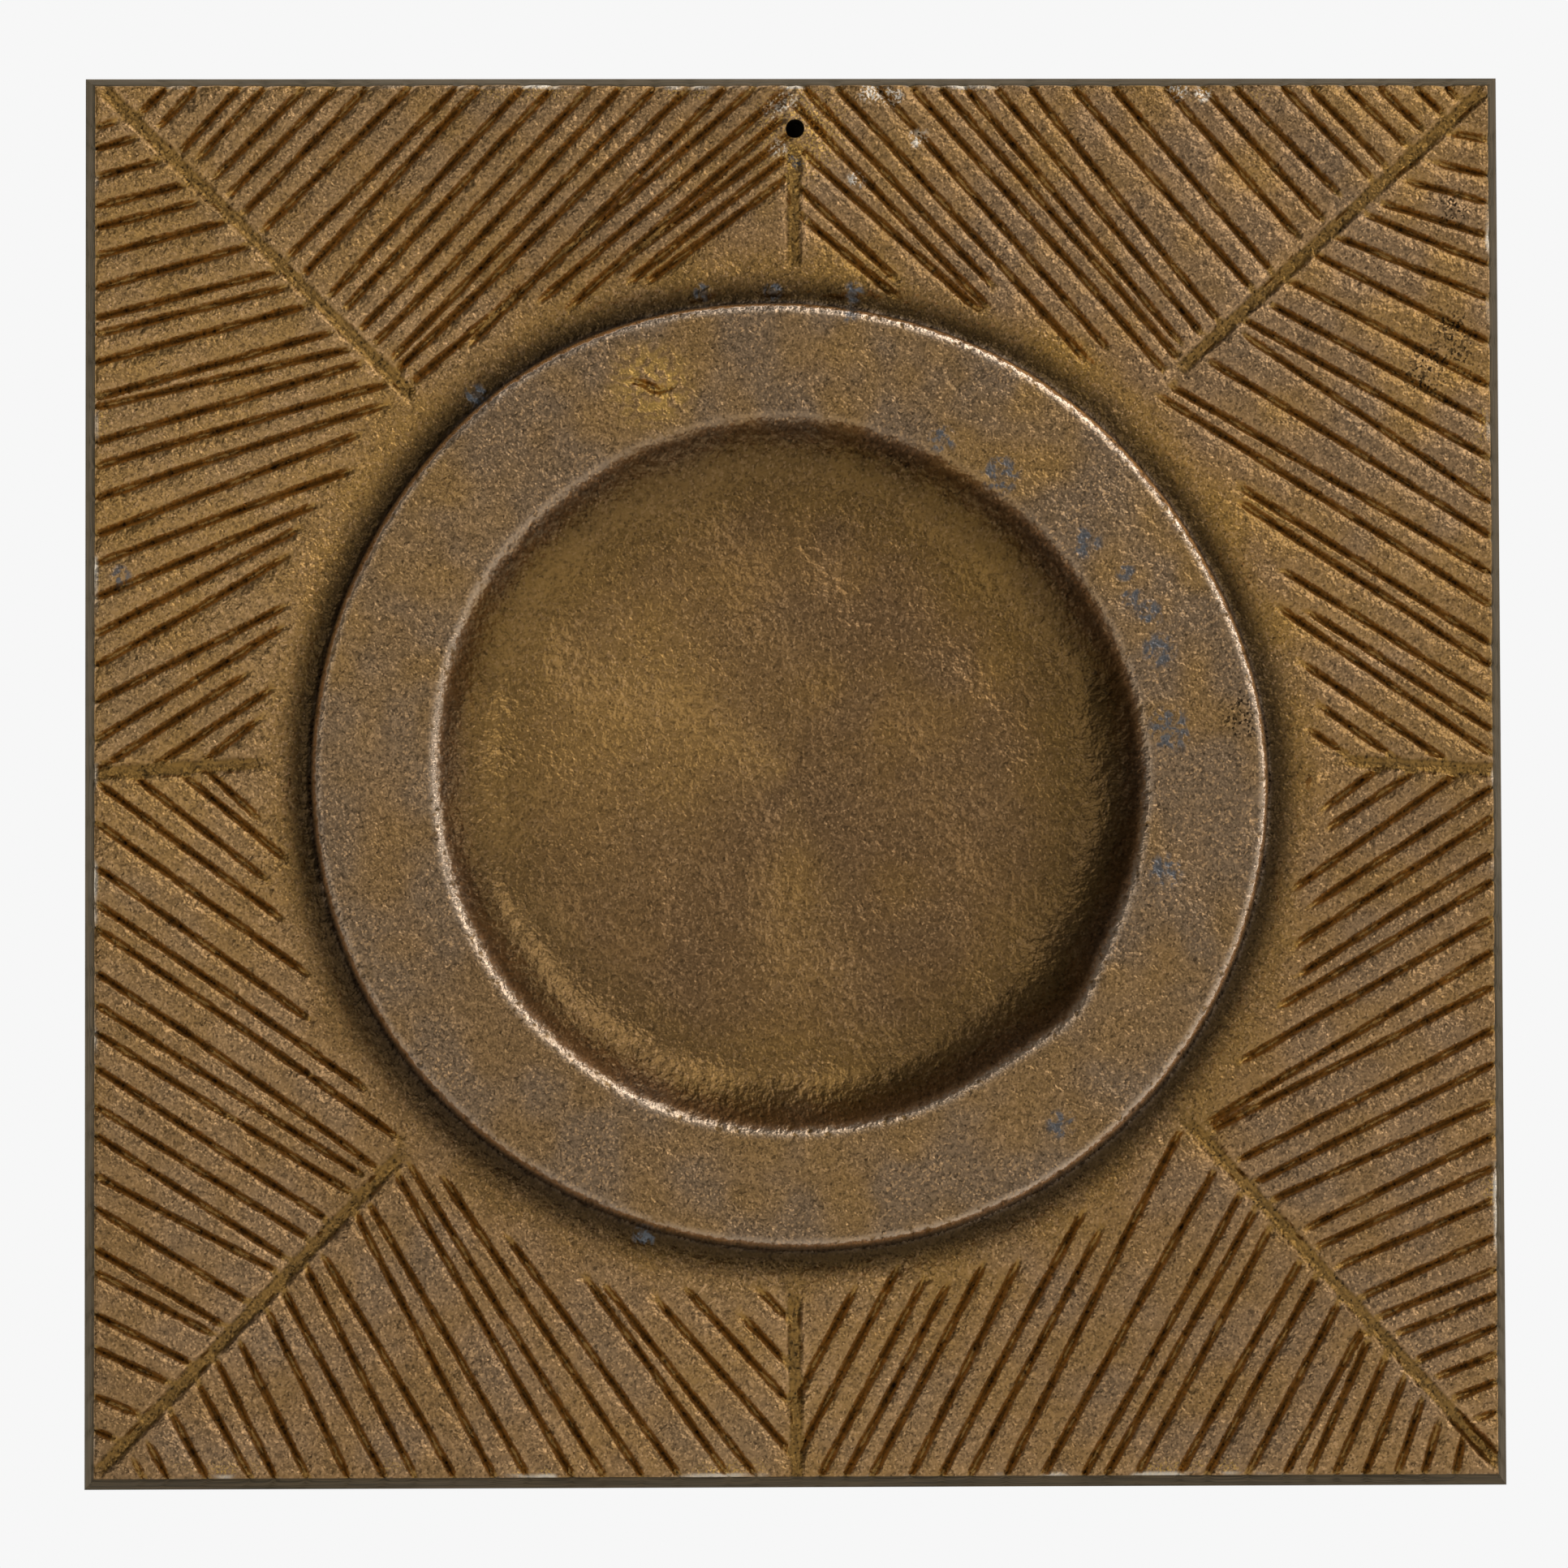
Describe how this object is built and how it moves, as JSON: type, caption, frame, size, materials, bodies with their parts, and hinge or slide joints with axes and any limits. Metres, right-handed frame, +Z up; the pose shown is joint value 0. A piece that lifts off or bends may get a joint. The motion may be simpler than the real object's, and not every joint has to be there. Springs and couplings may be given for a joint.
{
  "type": "relief plaque",
  "caption": "Square cast-bronze wall plaque with a raised ring round a smooth dish, fans of drawn grooves and a nail hole at the top.",
  "frame": {"origin": "centre of the plaque's flat back, where it lies on the wall", "axes": "front faces -Y, away from the wall; +Y into the wall; +Z up; +X to the viewer's right"},
  "size_m": [0.25, 0.0144, 0.249],
  "materials": {
    "bronze": "sand-cast bronze, patinated golden brown in the hollows and greyer brown on the worn high parts, sides filed dark"
  },
  "bodies": {
    "root": {"plaque": "bronze"}
  },
  "joints": []
}
